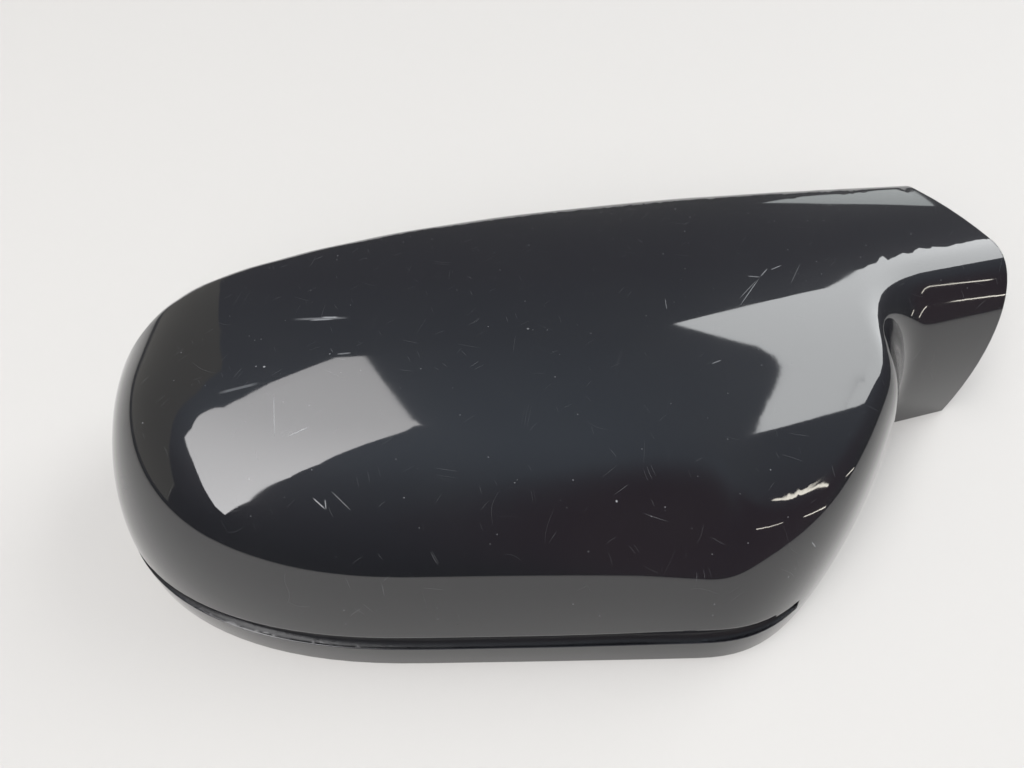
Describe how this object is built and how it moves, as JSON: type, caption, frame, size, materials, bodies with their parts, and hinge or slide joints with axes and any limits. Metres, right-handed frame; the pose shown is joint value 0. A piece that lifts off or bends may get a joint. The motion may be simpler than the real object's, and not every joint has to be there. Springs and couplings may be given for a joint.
{
  "type": "wing mirror cover",
  "caption": "Glossy black moulded cover for a car door mirror: crowned hollow shell with a rounded tip, a neck with an open end, and a water gutter along the rim.",
  "frame": {"origin": "middle of the bounding box, on the plane of the rim", "axes": "+X from the rounded tip to the neck, -Y to the edge with the water gutter, +Z out of the rim to the crown"},
  "size_m": [0.2489, 0.1413, 0.054],
  "materials": {
    "paint": "black paint with clear coat over moulded plastic, fine scratches and dust"
  },
  "bodies": {
    "root": {"mirror_cover": "paint"}
  },
  "joints": []
}
